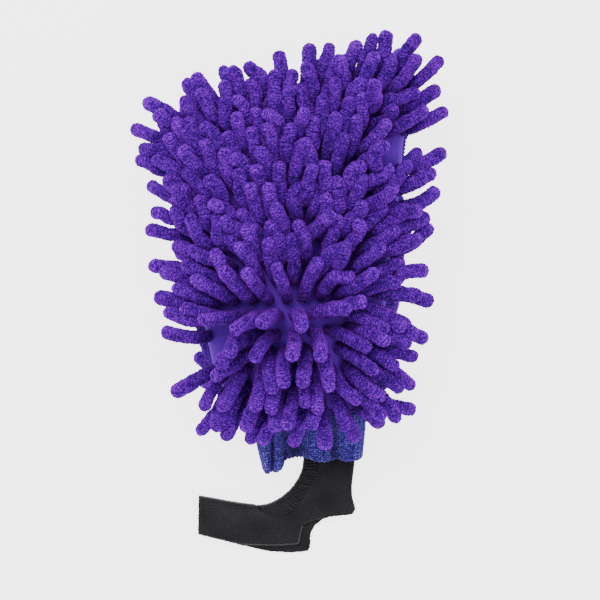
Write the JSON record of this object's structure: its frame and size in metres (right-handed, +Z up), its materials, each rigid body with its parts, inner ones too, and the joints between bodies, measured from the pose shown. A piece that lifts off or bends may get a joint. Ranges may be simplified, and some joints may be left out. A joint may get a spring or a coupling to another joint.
{
  "type": "wash mitt",
  "caption": "Chenille noodle wash mitt, a padded hand bag covered in soft microfibre noodles, with a knit wrist cuff and a dark inner wrist sleeve with thumb opening.",
  "frame": {"origin": "middle of the bounding box in plan, on the surface the mitt lies on", "axes": "+X across the palm towards the right-hand side seam, +Y from the cuff to the finger end, +Z up out of the palm face"},
  "size_m": [0.2144, 0.3516, 0.0924],
  "materials": {
    "front_chenille": "soft violet microfibre chenille pile",
    "back_chenille": "soft violet microfibre chenille pile",
    "backing_cloth": "smooth violet knitted ground cloth",
    "lining_cloth": "smooth blue polyester lining",
    "seam_tape": "blue overlocked seam allowance",
    "cuff_knit": "mottled indigo jersey knit",
    "sleeve_knit": "charcoal black elastic knit",
    "sleeve_rib": "gathered black rib knit",
    "sleeve_thread": "matt grey overlock thread"
  },
  "bodies": {
    "mitt": {"front_noodles_row_01": "front_chenille", "front_noodles_row_02": "front_chenille", "front_noodles_row_03": "front_chenille", "front_noodles_row_04": "front_chenille", "front_noodles_row_05": "front_chenille", "front_noodles_row_06": "front_chenille", "front_noodles_row_07": "front_chenille", "front_noodles_row_08": "front_chenille", "front_noodles_row_09": "front_chenille", "front_noodles_row_10": "front_chenille", "front_noodles_row_11": "front_chenille", "front_noodles_row_12": "front_chenille", "front_noodles_row_13": "front_chenille", "front_noodles_row_14": "front_chenille", "front_noodles_row_15": "front_chenille", "front_noodles_row_16": "front_chenille", "front_noodles_row_17": "front_chenille", "front_noodles_row_18": "front_chenille", "back_noodles_row_01": "back_chenille", "back_noodles_row_02": "back_chenille", "back_noodles_row_03": "back_chenille", "back_noodles_row_04": "back_chenille", "back_noodles_row_05": "back_chenille", "back_noodles_row_06": "back_chenille", "back_noodles_row_07": "back_chenille", "back_noodles_row_08": "back_chenille", "back_noodles_row_09": "back_chenille", "back_noodles_row_10": "back_chenille", "back_noodles_row_11": "back_chenille", "back_noodles_row_12": "back_chenille", "back_noodles_row_13": "back_chenille", "back_noodles_row_14": "back_chenille", "back_noodles_row_15": "back_chenille", "back_noodles_row_16": "back_chenille", "back_noodles_row_17": "back_chenille", "back_noodles_row_18": "back_chenille", "front_backing": "backing_cloth", "back_backing": "backing_cloth", "front_lining": "lining_cloth", "back_lining": "lining_cloth", "side_seam": "seam_tape", "wrist_seam": "seam_tape"},
    "cuff": {"knit_cuff": "cuff_knit"},
    "sleeve": {"sleeve_front_layer": "sleeve_knit", "sleeve_back_layer": "sleeve_knit", "sleeve_rib_band": "sleeve_rib", "thumb_opening_overlock": "sleeve_thread", "rib_band_seam_thread": "sleeve_thread", "sleeve_end_stitching": "sleeve_thread"}
  },
  "joints": [
    {"name": "cuff_fold", "type": "hinge", "parent": "mitt", "child": "cuff", "pos_m": [0.00971, -0.0757, 0.03815], "axis": [-1, 0, 0], "range_deg": [0, 22]},
    {"name": "sleeve_fold", "type": "hinge", "parent": "cuff", "child": "sleeve", "pos_m": [0.01251, -0.1131, 0.01015], "axis": [-0.9943, -0.1063, 0], "range_deg": [0, 55]}
  ]
}
